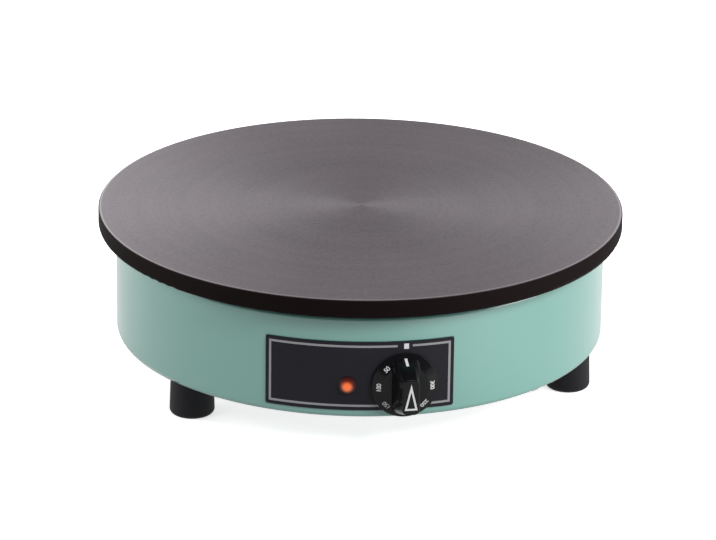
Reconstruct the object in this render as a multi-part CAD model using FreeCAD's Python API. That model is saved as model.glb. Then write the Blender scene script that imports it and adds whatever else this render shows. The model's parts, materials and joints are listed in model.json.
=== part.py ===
import FreeCAD, Part
import math
import os

# Electric crepe griddle: a turned cast-iron plate on a round enamelled body with three feet.
# Millimetres. +Z is up, the counter is z = 0, the front with the control panel faces -Y.
# Azimuths are degrees from the front, growing towards +X.

V = FreeCAD.Vector
UP = V(0, 0, 1)
full_turn = 360.0

# Griddle plate
plate_diameter = 400.0
plate_thickness = 15.0
plate_top_chamfer = 1.0
plate_bottom_round = 4.0
element_seat_depth = 1.0
locating_ring_width = 2.5
locating_ring_gap = 1.2
locating_ring_overlap = 2.0
support_boss_diameter = 15.0
support_boss_height = 10.0

# Body shell and its base
foot_height = 28.0
body_diameter = 372.8
body_height = 79.5
sheet = 1.5
plate_gap = 3.5
top_edge_round = 3.5
bottom_edge_round = 4.0
base_thickness = 1.2
base_margin = 11.0
base_foot_gap = 1.4
base_fixings = 6
base_fixing_inset = 5.5
vent_width = 4.0
vent_length = 26.0
vent_ring_insets = (76.0, 34.0)
vent_ring_counts = (16, 28)
vent_free_azimuths = (90.0, 180.0)
vent_free_half_angle = 24.0

# Feet
foot_diameter = 34.2
foot_top_diameter = 32.4
foot_edge_round = 4.0
foot_inset = 18.9
foot_azimuth = 192.1
foot_recess_diameter = 16.0
foot_recess_depth = 13.0
foot_shoulder_round = 0.8

# Plate supports
support_inset = 13.4
support_angle_from_foot = -24.0
post_diameter = 12.0

# Fasteners, by thread diameter
thread_m6 = 6.0
thread_m4 = 4.0
thread_m5 = 5.0
thread_gap = 0.05
hole_gap = 0.3
nut_width_ratio = 1.65
nut_height_ratio = 0.8
tie_nut_height = 3.0
tie_stud_end = 0.3
washer_ratio = 2.0
washer_thickness = 1.2

# Heating elements under the plate
element_diameter = 8.5
element_pressed = 7.0
element_edge_margin = 14.0
element_pitch = 28.0
element_gap_azimuth = 150.0
element_hairpin_setback = 26.0
element_end_setback = 11.0
element_pin_diameter = 6.0
element_pin_reach = 12.0
insulator_diameter = 11.0
insulator_length = 6.0

# Clamp plate, insulation and heat shield
pack_post_gap = 4.3
clamp_thickness = 2.0
clamp_stud_azimuths = (15.0, 105.0, 195.0, 285.0)
clamp_stud_depth = 9.0
insulation_thickness = 14.0
insulation_margin = 2.0
shield_sheet = 1.2
shield_gap = 1.0
shield_lip = 3.0
shield_bend = 3.0
insulation_edge_round = 3.0

# Temperature sensing
bulb_length = 50.0
bulb_inset_from_ring = 16.0
bulb_gap = 0.1
bulb_azimuths = (330.0, 60.0)
capillary_diameter = 2.0

# Control panel on the front wall
panel_arc_length = 140.5
panel_height = 53.8
panel_rise = 6.7
panel_arc_offset = 1.0
panel_thickness = 1.0
panel_corner_round = 1.5
control_rise = 26.5
knob_arc_offset = 34.0
lamp_arc_offset = -7.8

# Control knob and thermostat
knob_diameter = 49.6
knob_skirt_gap = 0.8
knob_rim_thickness = 1.3
knob_rim_bevel = 0.4
knob_skirt_thickness = 4.3
knob_face_diameter = 34.0
knob_recess_depth = 2.6
knob_recess_diameter = 37.2
knob_hub_diameter = 13.0
grip_base_width = 22.0
grip_base_length = 44.0
grip_front_width = 12.4
grip_front_length = 27.0
grip_height = 21.4
grip_corner_share = 0.6
grip_edge_round = 1.0
shaft_diameter = 6.0
shaft_flat = 1.0
shaft_gap = 0.06
shaft_in_knob = 13.0
bushing_diameter = 10.0
bushing_reach = 3.6
thermostat_width = 42.0
thermostat_height = 36.0
thermostat_depth = 28.0
thermostat_plate_width = 44.0
thermostat_plate_height = 30.0
thermostat_plate_thickness = 1.2
thermostat_screw_spacing = 28.0
screw_head_ratio = 1.85
screw_head_height = 2.2

# Pilot lamp
lamp_lens_diameter = 10.0
lamp_lens_rise = 2.6
lamp_bezel_diameter = 13.0
lamp_bezel_rise = 1.8
lamp_tube_diameter = 9.0
lamp_tube_length = 24.0
lamp_wall = 0.9
lamp_nut_width = 13.0
lamp_nut_thickness = 2.5
lamp_holder_length = 6.0
lamp_plug_length = 4.0
lamp_pin_diameter = 1.8
lamp_pin_reach = 6.0
lamp_pin_offset = 2.2
lamp_stem_length = 9.0
lamp_edge_round = 0.8

# Overheat limiter on the base plate
limiter_azimuth = 90.0
limiter_radius = 84.0
limiter_width = 36.0
limiter_depth = 28.0
limiter_height = 24.0
limiter_bush_diameter = 10.0
limiter_bush_reach = 4.2
limiter_nut_width = 14.0
limiter_nut_thickness = 2.6
reset_button_diameter = 5.6
reset_button_reach = 3.0
reset_button_travel = 2.0
reset_button_length = 14.0
reset_button_collar = 7.6
reset_collar_thickness = 1.6
reset_collar_seat = 1.0
reset_tip_round = 0.8

# Supply entry at the back
gland_rise = 21.0
gland_thread_diameter = 20.0
gland_thread_length = 9.0
gland_hex_width = 25.0
gland_hex_thickness = 5.0
gland_washer_thickness = 1.5
gland_nut_thickness = 4.5
gland_cap_length = 18.4
gland_cap_grip_length = 8.0
gland_cap_mouth_diameter = 12.4
gland_cap_wall = 2.2
gland_seal_bore = 9.0
gland_seal_length = 10.0
gland_bore = 12.0
gland_neck_step = 1.0
gland_cap_gap = 0.4
gland_cap_round = 4.0
gland_mouth_round = 0.8
gland_seal_gap = 0.3

# Terminal block and earth stud on the base plate
terminal_block_inset = 26.0
terminal_pitch = 14.0
terminal_poles = 3
terminal_block_depth = 24.0
terminal_block_height = 18.0
terminal_clamp_width = 9.0
terminal_clamp_length = 20.0
terminal_clamp_height = 7.0
terminal_pocket_floor = 8.0
terminal_pocket_gap = 0.3
terminal_ear_width = 10.0
terminal_ear_depth = 12.0
terminal_ear_height = 5.0
terminal_clamp_screw_diameter = 5.2
terminal_clamp_screw_height = 2.0
terminal_clamp_screw_offset = 6.0
earth_azimuth = 205.0
earth_inset = 20.0
earth_length = 16.0

# Blade terminals, their push-on sleeves and the internal wires
tab_width = 6.3
tab_thickness = 0.8
tab_length = 8.0
tab_round = 0.3
thermostat_tab_side = 12.0
thermostat_tab_rise = 9.0
limiter_tab_side = 10.0
sleeve_width = 8.0
sleeve_thickness = 3.0
sleeve_tail = 4.5
sleeve_gap = 0.5
pin_cap_diameter = 8.4
pin_cap_length = 9.5
pin_cap_gap = 0.5
pin_wire_offset = 1.9
wire_diameter = 3.0
wire_bend = 9.0
wire_run_out = 10.0
wire_level_below_pins = 11.0
lead_layer = 6.0
lamp_wire_diameter = 1.6
lamp_wire_bend = 4.0
lamp_wire_offset = 2.9
lamp_cap_diameter = 3.0
lamp_cap_length = 8.0
capillary_run_level = 11.0
capillary_entry_rise = 14.0
capillary_bend = 5.0
earth_lug_diameter = 10.0
earth_lug_thickness = 1.2
earth_lug_length = 12.0
earth_barrel_diameter = 4.2
seat_gap = 0.1

# Levels worked out from the sizes above
shell_bottom = foot_height
shell_top = shell_bottom + body_height
plate_under = shell_top + plate_gap
plate_top = plate_under + plate_thickness
flange_top = shell_bottom + sheet
base_under = shell_bottom - base_thickness
element_seat = plate_under + element_seat_depth
element_bottom = element_seat - element_pressed
element_middle = element_seat - element_pressed / 2
clamp_under = element_bottom - clamp_thickness
insulation_under = clamp_under - insulation_thickness
shield_under = insulation_under - shield_sheet
boss_under = plate_under - support_boss_height
control_level = shell_bottom + control_rise
gland_level = shell_bottom + gland_rise

# Radii and azimuths worked out from the sizes above
plate_radius = plate_diameter / 2
body_radius = body_diameter / 2
wall_inside = body_radius - sheet
panel_face = body_radius + panel_thickness
foot_circle_radius = body_radius - foot_inset
support_circle_radius = body_radius - support_inset
base_radius = foot_circle_radius - foot_diameter / 2 - base_foot_gap
flange_inside = base_radius - base_margin
vent_ring_radii = [flange_inside - inset for inset in vent_ring_insets]
terminal_block_radius = flange_inside - terminal_block_inset
earth_radius = flange_inside - earth_inset
base_fixing_radius = base_radius - base_fixing_inset
shield_outside = support_circle_radius - support_boss_diameter / 2 - pack_post_gap - shield_lip
shield_inside = shield_outside - shield_sheet
insulation_radius = shield_inside - shield_gap
clamp_radius = insulation_radius - insulation_margin
element_rings = [clamp_radius - element_edge_margin - element_pitch * i for i in range(4)]
element_ring_radii = (element_rings[0:2], element_rings[2:4])
clamp_stud_radius = (element_rings[1] + element_rings[2]) / 2
bulb_circle_radius = element_rings[2] - bulb_inset_from_ring
panel_azimuth = math.degrees(panel_arc_offset / body_radius)
panel_half_angle = math.degrees(panel_arc_length / 2 / body_radius)
knob_azimuth = math.degrees(knob_arc_offset / body_radius)
lamp_azimuth = math.degrees(lamp_arc_offset / body_radius)
foot_azimuths = [foot_azimuth + 120.0 * i for i in range(3)]
foot_names = ["foot_rear", "foot_left", "foot_right"]
support_azimuths = [a + support_angle_from_foot for a in foot_azimuths]
base_fixing_azimuths = [30.0 + 360.0 / base_fixings * i for i in range(base_fixings)]


# Helpers for outlines, turned shapes and places on the round body

def across(azimuth):
    """The direction to the right along the wall, seen from outside at this azimuth."""
    a = math.radians(azimuth)
    return V(math.cos(a), math.sin(a), 0)


def outward(azimuth):
    """The direction straight out of the body at this azimuth."""
    a = math.radians(azimuth)
    return V(math.sin(a), -math.cos(a), 0)


def spot(azimuth, radius, z):
    """A point at this azimuth, distance from the centre line and height."""
    return outward(azimuth) * radius + UP * z


def outline(corners, plane="plan"):
    """A face with rounded corners, each given as x, y and corner radius."""
    def lift(x, y):
        return V(x, 0, y) if plane == "section" else V(x, y, 0)

    count = len(corners)
    starts = []
    ends = []
    arcs = []
    for i, (x, y, radius) in enumerate(corners):
        point = V(x, y, 0)
        before = V(*corners[i - 1][:2], 0) - point
        after = V(*corners[(i + 1) % count][:2], 0) - point
        before.normalize()
        after.normalize()
        if radius > 0:
            half = before.getAngle(after) / 2
            cut = radius / math.tan(half)
            middle = before + after
            middle.normalize()
            start = point + before * cut
            end = point + after * cut
            crown = point + middle * (radius / math.sin(half) - radius)
            arcs.append((start, crown, end))
        else:
            start = point
            end = point
            arcs.append(None)
        starts.append(start)
        ends.append(end)
    edges = []
    for i in range(count):
        if arcs[i]:
            edges.append(Part.Arc(*[lift(p.x, p.y) for p in arcs[i]]).toShape())
        leave = ends[i]
        arrive = starts[(i + 1) % count]
        if (arrive - leave).Length > 1e-6:
            edges.append(Part.LineSegment(lift(leave.x, leave.y), lift(arrive.x, arrive.y)).toShape())
    return Part.Face(Part.Wire(edges))


def turned(corners):
    """A solid turned about the centre line from a section given as radius, height, rounding."""
    return outline(corners, "section").revolve(V(0, 0, 0), UP, 360)


def sharp(points):
    """The same points with no rounding."""
    return [(x, y, 0) for x, y in points]


def ring(inner, outer, low, high):
    """A plain ring or, with no inner radius, a disc about the centre line."""
    body = Part.makeCylinder(outer, high - low, V(0, 0, low))
    if inner > 0:
        body = body.cut(Part.makeCylinder(inner, high - low, V(0, 0, low)))
    return body


def rounded_box(width, depth, low, high, radius):
    """A block centred on the centre line with rounded upright edges."""
    w = width / 2
    d = depth / 2
    face = outline([(-w, -d, radius), (w, -d, radius), (w, d, radius), (-w, d, radius)])
    face.translate(V(0, 0, low))
    return face.extrude(V(0, 0, high - low))


def hexagon(width, low, high):
    """A hexagonal prism with lightly turned corners, this wide across its flats."""
    corner = width / 2 / math.cos(math.radians(30))
    points = [(corner * math.cos(math.radians(60 * i)), corner * math.sin(math.radians(60 * i)))
              for i in range(6)]
    face = outline(sharp(points))
    face.translate(V(0, 0, low))
    return face.extrude(V(0, 0, high - low))


def nut(thread, low, width=None, height=None):
    """A hexagon nut on the centre line, resting on this level."""
    width = width or thread * nut_width_ratio
    high = low + (height or thread * nut_height_ratio)
    blank = hexagon(width, low, high)
    return blank.cut(Part.makeCylinder(thread / 2 + thread_gap, high - low, V(0, 0, low)))


def washer(thread, low, thickness=washer_thickness):
    """A plain washer on the centre line, resting on this level."""
    return ring(thread / 2 + hole_gap, thread * washer_ratio / 2, low, low + thickness)


def screw(thread, under_head, tip, head_height=None):
    """A low round-headed screw: its shank runs from the head at one level to the tip at another."""
    head_height = head_height or thread * 0.55
    way = 1 if tip > under_head else -1
    length = abs(tip - under_head)
    shank = Part.makeCylinder(thread / 2, length, V(0, 0, under_head), UP * way)
    head = Part.makeCylinder(thread * screw_head_ratio / 2, head_height, V(0, 0, under_head), UP * -way)
    rim = [e for e in head.Edges if abs(e.BoundBox.ZMin - (under_head - way * head_height)) < 1e-6
           and abs(e.BoundBox.ZMax - (under_head - way * head_height)) < 1e-6]
    head = head.makeFillet(head_height * 0.45, rim)
    return head.fuse(shank).removeSplitter()


def stand(shape, azimuth, radius, height=0.0):
    """Moves a shape made on the centre line out to this azimuth and radius, turned with it."""
    placed = shape.copy()
    placed.rotate(V(0, 0, 0), UP, azimuth)
    placed.translate(outward(azimuth) * radius + UP * height)
    return placed


def on_wall(shape, azimuth, height):
    """Turns a shape made along +Z so that it points out of the wall: its x runs along the wall,
    its y runs up, and its z is the distance from the body's centre line."""
    placed = shape.copy()
    turn = FreeCAD.Rotation(across(azimuth), UP, outward(azimuth), "XYZ")
    placed.Placement = FreeCAD.Placement(V(0, 0, height), turn).multiply(placed.Placement)
    return placed


def wall_chord(radius, half_width):
    """How far out a flat face this wide reaches inside a round wall of this radius."""
    return math.sqrt(radius ** 2 - half_width ** 2)


def cut_all(shape, tools):
    """The shape less every tool."""
    return shape.cut(Part.makeCompound(tools)) if tools else shape


def group(shapes):
    """Separate solids that share one node."""
    return Part.makeCompound(shapes)


def tube(points, diameter, bend):
    """A wire or thin tube along straight runs joined by tangent arcs."""
    edges = []
    start = points[0]
    for i in range(1, len(points) - 1):
        back = points[i - 1] - points[i]
        ahead = points[i + 1] - points[i]
        room = min(back.Length, ahead.Length) * 0.45
        back.normalize()
        ahead.normalize()
        half = back.getAngle(ahead) / 2
        radius = min(bend, room * math.tan(half))
        cut = radius / math.tan(half)
        middle = back + ahead
        middle.normalize()
        leave = points[i] + back * cut
        crown = points[i] + middle * (radius / math.sin(half) - radius)
        arrive = points[i] + ahead * cut
        edges.append(Part.LineSegment(start, leave).toShape())
        edges.append(Part.Arc(leave, crown, arrive).toShape())
        start = arrive
    edges.append(Part.LineSegment(start, points[-1]).toShape())
    path = Part.Wire(edges)
    first = points[1] - points[0]
    section = Part.Wire(Part.makeCircle(diameter / 2, points[0], first))
    return path.makePipeShell([section], True, True)


# The griddle plate and the heating pack under it

def griddle_plate():
    """Cast-iron plate: turned top, rounded lower rim, machined element seat, bosses and ring."""
    ring_outer = wall_inside - top_edge_round - locating_ring_gap
    ring_inner = ring_outer - locating_ring_width
    ring_low = shell_top - locating_ring_overlap
    plate = turned([
        (0, plate_top, 0), (0, element_seat, 0),
        (clamp_radius + element_diameter, element_seat, 0), (clamp_radius + element_diameter, plate_under, 0),
        (plate_radius, plate_under, plate_bottom_round),
        (plate_radius, plate_top - plate_top_chamfer, 0), (plate_radius - plate_top_chamfer, plate_top, 0),
    ])
    collar = ring(ring_inner, ring_outer, ring_low, plate_under + 1)
    bosses = [Part.makeCylinder(support_boss_diameter / 2, support_boss_height + 1,
                                spot(a, support_circle_radius, boss_under)) for a in support_azimuths]
    plate = plate.fuse([collar] + bosses)
    holes = [Part.makeCylinder(thread_m6 / 2 + thread_gap, clamp_stud_depth,
                               spot(a, clamp_stud_radius, element_seat)) for a in clamp_stud_azimuths]
    holes += [Part.makeCylinder(thread_m6 / 2 + thread_gap, support_boss_height + thread_m6,
                                spot(a, support_circle_radius, boss_under)) for a in support_azimuths]
    return cut_all(plate, holes).removeSplitter()


def pressed_section(radius):
    """The element's section: a tube pressed flat above and below, at this distance out."""
    half = element_pressed / 2
    side = math.sqrt((element_diameter / 2) ** 2 - half ** 2)
    z = element_middle
    corners = [V(radius - side, 0, z + half), V(radius + side, 0, z + half),
               V(radius + side, 0, z - half), V(radius - side, 0, z - half)]
    edges = [
        Part.LineSegment(corners[0], corners[1]).toShape(),
        Part.Arc(corners[1], V(radius + element_diameter / 2, 0, z), corners[2]).toShape(),
        Part.LineSegment(corners[2], corners[3]).toShape(),
        Part.Arc(corners[3], V(radius - element_diameter / 2, 0, z), corners[0]).toShape(),
    ]
    return Part.Face(Part.Wire(edges))


def element_angles(radii):
    """Where an element's rings begin and where its hairpin bend sits, as azimuths."""
    mean = sum(radii) / 2
    begin = element_gap_azimuth + math.degrees(element_end_setback / mean)
    end = element_gap_azimuth - math.degrees(element_hairpin_setback / mean) + full_turn
    return begin, end


def heating_element(radii):
    """A tubular element: two rings joined by a hairpin, with a pin down from each free end."""
    begin, end = element_angles(radii)
    parts = []
    for radius in radii:
        section = pressed_section(radius)
        section.rotate(V(0, 0, 0), UP, begin - 90)
        parts.append(section.revolve(V(0, 0, 0), UP, end - begin))
        tip = spot(begin, radius, element_bottom)
        parts.append(Part.makeCylinder(element_diameter / 2, element_pressed, tip))
        reach = element_bottom - shield_under + element_pin_reach
        parts.append(Part.makeCylinder(element_pin_diameter / 2, reach + 1, tip - UP * reach))
    section = pressed_section(radii[0])
    section.rotate(V(0, 0, 0), UP, end - 90)
    parts.append(section.revolve(spot(end, sum(radii) / 2, 0), UP, 180))
    return parts[0].fuse(parts[1:]).removeSplitter()


def pin_spots():
    """Azimuth and radius of every element pin."""
    return [(element_angles(radii)[0], radius) for radii in element_ring_radii for radius in radii]


def bulb_end(azimuth):
    """Where a temperature bulb's small end is, and the direction it points."""
    along = across(azimuth)
    middle = spot(azimuth, bulb_circle_radius, element_middle)
    return middle + along * (bulb_length / 2), along


def capillary_drop(azimuth):
    """Where a capillary turns down beside its bulb."""
    end, along = bulb_end(azimuth)
    return end + along * capillary_diameter * 3


def pack_holes(low, high, stud, pin, capillary):
    """Holes through one layer of the heating pack for the studs, pins and capillaries."""
    height = high - low
    holes = [Part.makeCylinder(stud, height, spot(a, clamp_stud_radius, low)) for a in clamp_stud_azimuths]
    holes += [Part.makeCylinder(pin, height, spot(a, r, low)) for a, r in pin_spots()]
    for a in bulb_azimuths:
        drop = capillary_drop(a)
        holes.append(Part.makeCylinder(capillary, height, V(drop.x, drop.y, low)))
    return holes


def element_clamp_plate():
    """Steel disc that presses the elements against the plate."""
    disc = ring(0, clamp_radius, clamp_under, element_bottom)
    pin = element_pin_diameter / 2 + hole_gap * 4
    holes = pack_holes(clamp_under, element_bottom, thread_m6 / 2 + hole_gap, pin, capillary_diameter * 1.5)
    return cut_all(disc, holes)


def insulation_disc():
    """Ceramic-fibre blanket under the clamp plate, open round the clamp nuts."""
    disc = turned([
        (0, insulation_under, 0), (insulation_radius, insulation_under, insulation_edge_round),
        (insulation_radius, clamp_under, 0), (0, clamp_under, 0),
    ])
    pin = element_pin_diameter / 2 + hole_gap * 2
    holes = pack_holes(insulation_under, clamp_under, thread_m6 * 1.4, pin, capillary_diameter)
    return cut_all(disc, holes)


def heat_shield():
    """Dished steel pan that carries the insulation, with a small turned-out lip."""
    lip_top = plate_under - shield_gap * 2
    pan = turned([
        (0, insulation_under, 0), (0, shield_under, 0), (shield_outside, shield_under, shield_bend),
        (shield_outside, lip_top - shield_sheet, 0), (shield_outside + shield_lip, lip_top - shield_sheet, 0),
        (shield_outside + shield_lip, lip_top, 0), (shield_inside, lip_top, 0),
        (shield_inside, insulation_under, shield_bend - shield_sheet),
    ])
    pin = element_pin_diameter / 2 + hole_gap * 2
    return cut_all(pan, pack_holes(shield_under, insulation_under, thread_m6 / 2 + hole_gap, pin,
                                   capillary_diameter))


def clamp_studs():
    """Studs from the plate's underside through the whole heating pack."""
    low = shield_under - washer_thickness - thread_m6 * nut_height_ratio - 2.0
    top = element_seat + clamp_stud_depth - 0.5
    return group([Part.makeCylinder(thread_m6 / 2, top - low, spot(a, clamp_stud_radius, low))
                  for a in clamp_stud_azimuths])


def clamp_nuts():
    """Nuts that press the clamp plate up."""
    low = clamp_under - thread_m6 * nut_height_ratio
    return group([stand(nut(thread_m6, low), a, clamp_stud_radius) for a in clamp_stud_azimuths])


def shield_nuts():
    """Nuts that hold the heat shield up."""
    low = shield_under - washer_thickness - thread_m6 * nut_height_ratio
    return group([stand(nut(thread_m6, low), a, clamp_stud_radius) for a in clamp_stud_azimuths])


def shield_washers():
    """Washers between the heat shield and its nuts."""
    low = shield_under - washer_thickness
    return group([stand(washer(thread_m6, low), a, clamp_stud_radius) for a in clamp_stud_azimuths])


def element_insulators():
    """Ceramic beads that lead the element pins through the heat shield."""
    low = shield_under - insulator_length
    bead = ring(element_pin_diameter / 2 + hole_gap, insulator_diameter / 2, low, shield_under)
    return group([stand(bead, a, r) for a, r in pin_spots()])


def temperature_bulb(azimuth):
    """A liquid-filled bulb pressed between the plate and the clamp plate."""
    end, along = bulb_end(azimuth)
    radius = element_pressed / 2 - bulb_gap
    bulb = Part.makeCylinder(radius, bulb_length, end - along * bulb_length, along)
    return bulb.makeFillet(radius * 0.4, [e for e in bulb.Edges if e.Curve.TypeId == "Part::GeomCircle"])


# The body, its base and what carries the plate

def body_shell():
    """Round enamelled wall with a turned-in top edge and a wide bottom flange."""
    shell = turned([
        (body_radius - top_edge_round - sheet, shell_top, 0), (body_radius, shell_top, top_edge_round),
        (body_radius, shell_bottom, bottom_edge_round), (flange_inside, shell_bottom, 0),
        (flange_inside, flange_top, 0), (wall_inside, flange_top, bottom_edge_round - sheet),
        (wall_inside, shell_top - sheet, top_edge_round - sheet),
        (body_radius - top_edge_round - sheet, shell_top - sheet, 0),
    ])
    down = sheet + 2
    low = shell_bottom - 1
    holes = [Part.makeCylinder(thread_m6 / 2 + hole_gap, down, spot(a, foot_circle_radius, low))
             for a in foot_azimuths]
    holes += [Part.makeCylinder(thread_m6 / 2 + hole_gap, down, spot(a, support_circle_radius, low))
              for a in support_azimuths]
    holes += [Part.makeCylinder(thread_m4 / 2 + hole_gap, down, spot(a, base_fixing_radius, low))
              for a in base_fixing_azimuths]
    holes += front_holes()
    gland_hole = Part.makeCylinder(gland_thread_diameter / 2 + hole_gap, body_radius)
    holes.append(on_wall(gland_hole, 180, gland_level))
    return cut_all(shell, holes)


def front_holes():
    """Holes through the front wall and the panel for the thermostat and the pilot lamp."""
    shaft_hole = Part.makeCylinder(bushing_diameter / 2 + hole_gap, panel_face + 1)
    screw_hole = Part.makeCylinder(thread_m4 / 2 + hole_gap, panel_face + 1)
    holes = [on_wall(shaft_hole, knob_azimuth, control_level)]
    for side in (-1, 1):
        hole = screw_hole.copy()
        hole.translate(V(side * thermostat_screw_spacing / 2, 0, 0))
        holes.append(on_wall(hole, knob_azimuth, control_level))
    lamp_hole = Part.makeCylinder(lamp_tube_diameter / 2 + hole_gap, panel_face + 1)
    holes.append(on_wall(lamp_hole, lamp_azimuth, control_level))
    return holes


def control_panel():
    """Thin curved panel bonded to the front wall."""
    sleeve = ring(body_radius, panel_face, shell_bottom, shell_top)
    half = panel_face * math.sin(math.radians(panel_half_angle))
    low = shell_bottom + panel_rise
    high = low + panel_height
    face = outline([(-half, low, panel_corner_round), (half, low, panel_corner_round),
                    (half, high, panel_corner_round), (-half, high, panel_corner_round)])
    block = on_wall(face.extrude(V(0, 0, panel_face + 1)), panel_azimuth, 0)
    return cut_all(sleeve.common(block), front_holes())


def base_plate():
    """Pressed steel base with ventilation slots, screwed under the flange."""
    disc = ring(0, base_radius, base_under, shell_bottom)
    low = base_under - 1
    height = base_thickness + 2
    holes = [Part.makeCylinder(thread_m4 / 2 + hole_gap, height, spot(a, base_fixing_radius, low))
             for a in base_fixing_azimuths]
    slot = rounded_box(vent_width, vent_length, low, low + height, vent_width / 2 - 0.01)
    for radius, count in zip(vent_ring_radii, vent_ring_counts):
        for i in range(count):
            azimuth = 360.0 / count * (i + 0.5)
            clear = [abs(azimuth - a) > vent_free_half_angle for a in vent_free_azimuths]
            if all(clear):
                holes.append(stand(slot, azimuth, radius))
    bush = Part.makeCylinder(limiter_bush_diameter / 2 + hole_gap, height,
                             spot(limiter_azimuth, limiter_radius, low))
    holes.append(bush)
    holes.append(Part.makeCylinder(thread_m5 / 2 + hole_gap, height, spot(earth_azimuth, earth_radius, low)))
    for side in (-1, 1):
        hole = Part.makeCylinder(thread_m4 / 2 + hole_gap, height, V(side * terminal_screw_offset(), 0, low))
        holes.append(stand(hole, 180, terminal_block_radius))
    return cut_all(disc, holes)


def base_screws():
    """Screws that hold the base under the flange."""
    one = screw(thread_m4, base_under, flange_top + thread_m4)
    return group([stand(one, a, base_fixing_radius) for a in base_fixing_azimuths])


def base_nuts():
    """Clinch nuts on the flange for the base screws."""
    return group([stand(nut(thread_m4, flange_top), a, base_fixing_radius) for a in base_fixing_azimuths])


def foot():
    """Rubber foot, slightly wider at the ground, hollow below for its screw."""
    recess = foot_recess_diameter / 2
    hole = thread_m6 / 2 + hole_gap
    return turned([
        (hole, shell_bottom, 0), (hole, foot_recess_depth, 0), (recess, foot_recess_depth, 0), (recess, 0, 0),
        (foot_diameter / 2, 0, foot_edge_round), (foot_top_diameter / 2, shell_bottom, foot_shoulder_round),
    ])


def foot_washers():
    """Wide washers inside the feet, under the screw heads."""
    one = ring(thread_m6 / 2 + hole_gap, foot_recess_diameter / 2 - hole_gap,
               foot_recess_depth - washer_thickness, foot_recess_depth)
    return group([stand(one, a, foot_circle_radius) for a in foot_azimuths])


def foot_screws():
    """Screws up through the feet and the flange."""
    tip = flange_top + washer_thickness + thread_m6 * nut_height_ratio + 1.5
    one = screw(thread_m6, foot_recess_depth - washer_thickness, tip)
    return group([stand(one, a, foot_circle_radius) for a in foot_azimuths])


def foot_nuts():
    """Nuts on the foot screws, each with its washer under it."""
    shapes = []
    for a in foot_azimuths:
        shapes.append(stand(washer(thread_m6, flange_top), a, foot_circle_radius))
        shapes.append(stand(nut(thread_m6, flange_top + washer_thickness), a, foot_circle_radius))
    return group(shapes)


def support_posts():
    """Steel spacer tubes that carry the plate's bosses on the flange."""
    post = ring(thread_m6 / 2 + hole_gap, post_diameter / 2, flange_top, boss_under)
    return group([stand(post, a, support_circle_radius) for a in support_azimuths])


def tie_studs():
    """Long studs from the plate's bosses down through the posts and the flange."""
    low = shell_bottom - washer_thickness - tie_nut_height - tie_stud_end
    top = boss_under + support_boss_height + thread_m6 - 0.5
    return group([Part.makeCylinder(thread_m6 / 2, top - low, spot(a, support_circle_radius, low))
                  for a in support_azimuths])


def tie_nuts():
    """Thin nuts under the flange that pull the plate down on its posts, each with its washer."""
    shapes = []
    for a in support_azimuths:
        low = shell_bottom - washer_thickness
        shapes.append(stand(washer(thread_m6, low), a, support_circle_radius))
        tie_nut = nut(thread_m6, low - tie_nut_height, height=tie_nut_height)
        shapes.append(stand(tie_nut, a, support_circle_radius))
    return group(shapes)


# The control knob and the thermostat behind it

thermostat_plate_face = wall_chord(wall_inside, thermostat_plate_width / 2) - seat_gap
thermostat_front = thermostat_plate_face - thermostat_plate_thickness
knob_back = panel_face + knob_skirt_gap
knob_dial = knob_back + knob_skirt_thickness
shaft_end = knob_back + shaft_in_knob
shaft_tail = thermostat_front - thermostat_depth / 2


def shaft_profile(radius, low, high, flat):
    """A round bar with one flat, or the hole that takes it."""
    bar = Part.makeCylinder(radius, high - low, V(0, 0, low))
    if flat > 0:
        block = Part.makeBox(radius * 2, radius, high - low, V(-radius, radius - flat, low))
        bar = bar.cut(block)
    return bar


def control_knob():
    """Conical dial skirt with a tapered bar grip, hollow behind, on a flatted shaft."""
    radius = knob_diameter / 2
    rim = knob_back + knob_rim_thickness
    skirt = turned([
        (0, knob_back, 0), (radius, knob_back, knob_rim_bevel), (radius, rim, knob_rim_bevel),
        (knob_face_diameter / 2, knob_dial, 0), (0, knob_dial, 0),
    ])
    recess = ring(knob_hub_diameter / 2, knob_recess_diameter / 2, knob_back, knob_back + knob_recess_depth)
    top = knob_dial + grip_height
    ends = ((rim, grip_base_width, grip_base_length), (top, grip_front_width, grip_front_length))
    wires = []
    for z, width, length in ends:
        x = width / 2
        y = length / 2
        r = x * grip_corner_share
        face = outline([(-x, -y, r), (x, -y, r), (x, y, r), (-x, y, r)])
        face.translate(V(0, 0, z))
        wires.append(face.OuterWire)
    grip = Part.makeLoft(wires, True, True)
    front = [e for e in grip.Edges if abs(e.BoundBox.ZMin - top) < 1e-6 and abs(e.BoundBox.ZMax - top) < 1e-6]
    grip = grip.makeFillet(grip_edge_round, front)
    bore = shaft_profile(shaft_diameter / 2 + shaft_gap, knob_back, shaft_end + 0.5, shaft_flat)
    knob = skirt.fuse(grip).cut(recess).removeSplitter().cut(bore)
    return on_wall(knob, knob_azimuth, control_level)


def thermostat_shaft():
    """Shaft with a flat at the knob end, turning in the thermostat's bush."""
    round_end = panel_face
    shaft = shaft_profile(shaft_diameter / 2, shaft_tail + 0.5, round_end, 0)
    shaft = shaft.fuse(shaft_profile(shaft_diameter / 2, round_end, shaft_end, shaft_flat)).removeSplitter()
    return on_wall(shaft, knob_azimuth, control_level)


def thermostat_body():
    """Moulded switch and bellows housing, with the threaded bush for the shaft."""
    back = thermostat_front - thermostat_depth
    body = rounded_box(thermostat_width, thermostat_height, back, thermostat_front, 3.0)
    bush = Part.makeCylinder(bushing_diameter / 2, bushing_reach + thermostat_plate_thickness + 1,
                             V(0, 0, thermostat_front - 1))
    bore = Part.makeCylinder(shaft_diameter / 2 + shaft_gap, panel_face, V(0, 0, shaft_tail))
    return on_wall(body.fuse(bush).cut(bore).removeSplitter(), knob_azimuth, control_level)


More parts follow.
